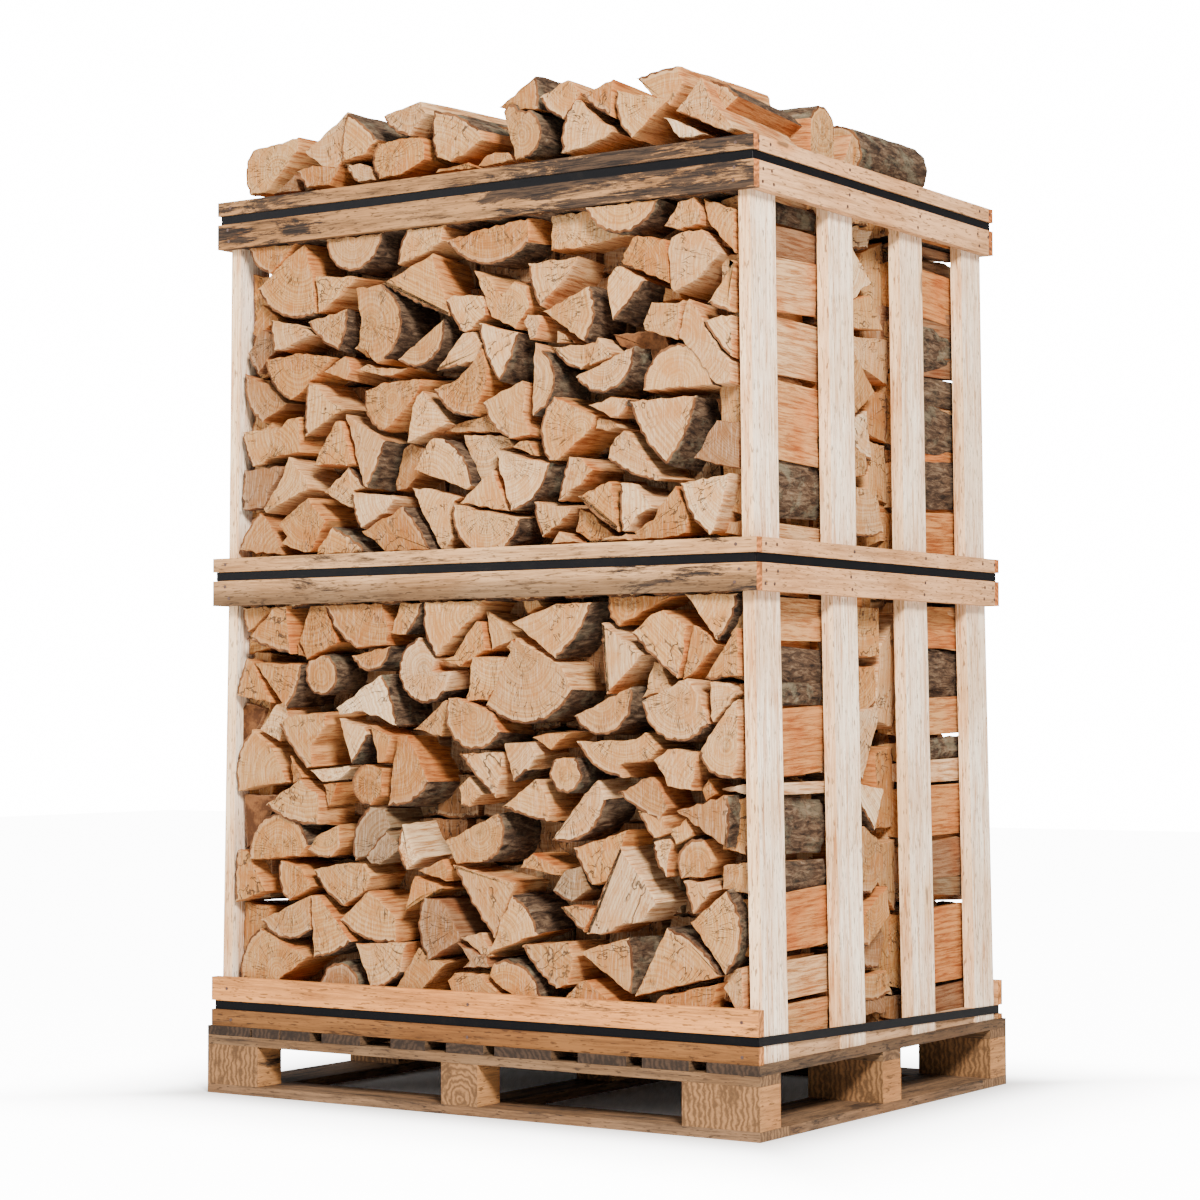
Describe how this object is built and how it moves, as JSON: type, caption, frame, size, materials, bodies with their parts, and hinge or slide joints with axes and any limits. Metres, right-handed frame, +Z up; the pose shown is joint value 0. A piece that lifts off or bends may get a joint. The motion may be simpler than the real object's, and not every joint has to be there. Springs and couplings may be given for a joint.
{
  "type": "pallet crate of split firewood",
  "caption": "Pallet crate of split hardwood logs, stacked in rows and heaped on top, held in by side posts, rings of rails and plastic straps.",
  "frame": {"origin": "on the ground, under the middle of the pallet", "axes": "+Z up, +X to the right along the long open front, +Y from the front to the back; the front is at -Y"},
  "size_m": [1.21, 0.926, 1.8433],
  "materials": {
    "pallet_wood": "rough sawn, weathered",
    "block_wood": "rough sawn, with end grain to the front",
    "rail_wood": "sawn softwood",
    "post_wood": "planed pale softwood",
    "strap_plastic": "smooth black band",
    "firewood": "split and sawn hardwood with bark"
  },
  "bodies": {
    "root": {"block_back_left": "block_wood", "block_back_middle": "block_wood", "block_back_right": "block_wood", "block_front_left": "block_wood", "block_front_middle": "block_wood", "block_front_right": "block_wood", "block_middle_left": "block_wood", "block_middle_middle": "block_wood", "block_middle_right": "block_wood", "bottom_board_back": "pallet_wood", "bottom_board_front": "pallet_wood", "bottom_board_left": "pallet_wood", "bottom_board_middle": "pallet_wood", "bottom_board_right": "pallet_wood", "bottom_rail_back": "rail_wood", "bottom_rail_front": "rail_wood", "deck_board_1": "pallet_wood", "deck_board_10": "pallet_wood", "deck_board_2": "pallet_wood", "deck_board_3": "pallet_wood", "deck_board_4": "pallet_wood", "deck_board_5": "pallet_wood", "deck_board_6": "pallet_wood", "deck_board_7": "pallet_wood", "deck_board_8": "pallet_wood", "deck_board_9": "pallet_wood", "log_heap": "firewood", "log_row_back": "firewood", "log_row_front": "firewood", "log_row_middle": "firewood", "middle_rail_back": "rail_wood", "middle_rail_front": "rail_wood", "middle_rail_left": "rail_wood", "middle_rail_right": "rail_wood", "post_left_1": "post_wood", "post_left_2": "post_wood", "post_left_3": "post_wood", "post_left_4": "post_wood", "post_right_1": "post_wood", "post_right_2": "post_wood", "post_right_3": "post_wood", "post_right_4": "post_wood", "spacer_left_1": "pallet_wood", "spacer_left_2": "pallet_wood", "spacer_left_3": "pallet_wood", "spacer_right_1": "pallet_wood", "spacer_right_2": "pallet_wood", "spacer_right_3": "pallet_wood", "strap_bottom": "strap_plastic", "strap_middle": "strap_plastic", "strap_top": "strap_plastic", "stringer_back": "pallet_wood", "stringer_front": "pallet_wood", "stringer_middle": "pallet_wood", "top_rail_back": "rail_wood", "top_rail_front": "rail_wood", "top_rail_left": "rail_wood", "top_rail_right": "rail_wood"}
  },
  "joints": []
}
